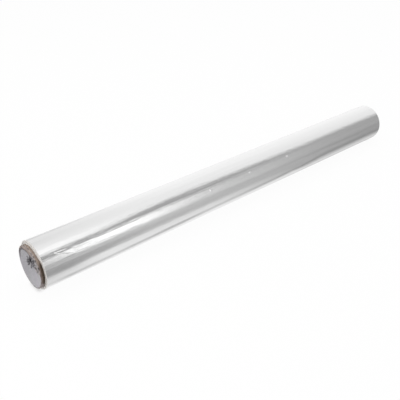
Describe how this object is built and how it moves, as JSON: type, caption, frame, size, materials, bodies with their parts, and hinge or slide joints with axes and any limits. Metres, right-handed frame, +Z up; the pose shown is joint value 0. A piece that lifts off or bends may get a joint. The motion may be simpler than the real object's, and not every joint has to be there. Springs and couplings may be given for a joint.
{
  "type": "cellophane wrap roll",
  "caption": "Wide roll of clear wrapping film wound on a cardboard core, with film gathered over the core's mouths, lying on its side.",
  "frame": {"origin": "on the floor, under the middle of the roll, on the flat that the film has settled on", "axes": "+X along the roll towards its right end, +Z up"},
  "size_m": [0.711, 0.0655, 0.0655],
  "materials": {
    "core_board": "matte kraft board",
    "clear_film": "glossy clear film, silvery where it is wound",
    "cover_film": "crumpled film, satin"
  },
  "bodies": {
    "root": {"core_tube": "core_board", "film_roll": "clear_film", "left_end_cover": "cover_film", "right_end_cover": "cover_film"}
  },
  "joints": []
}
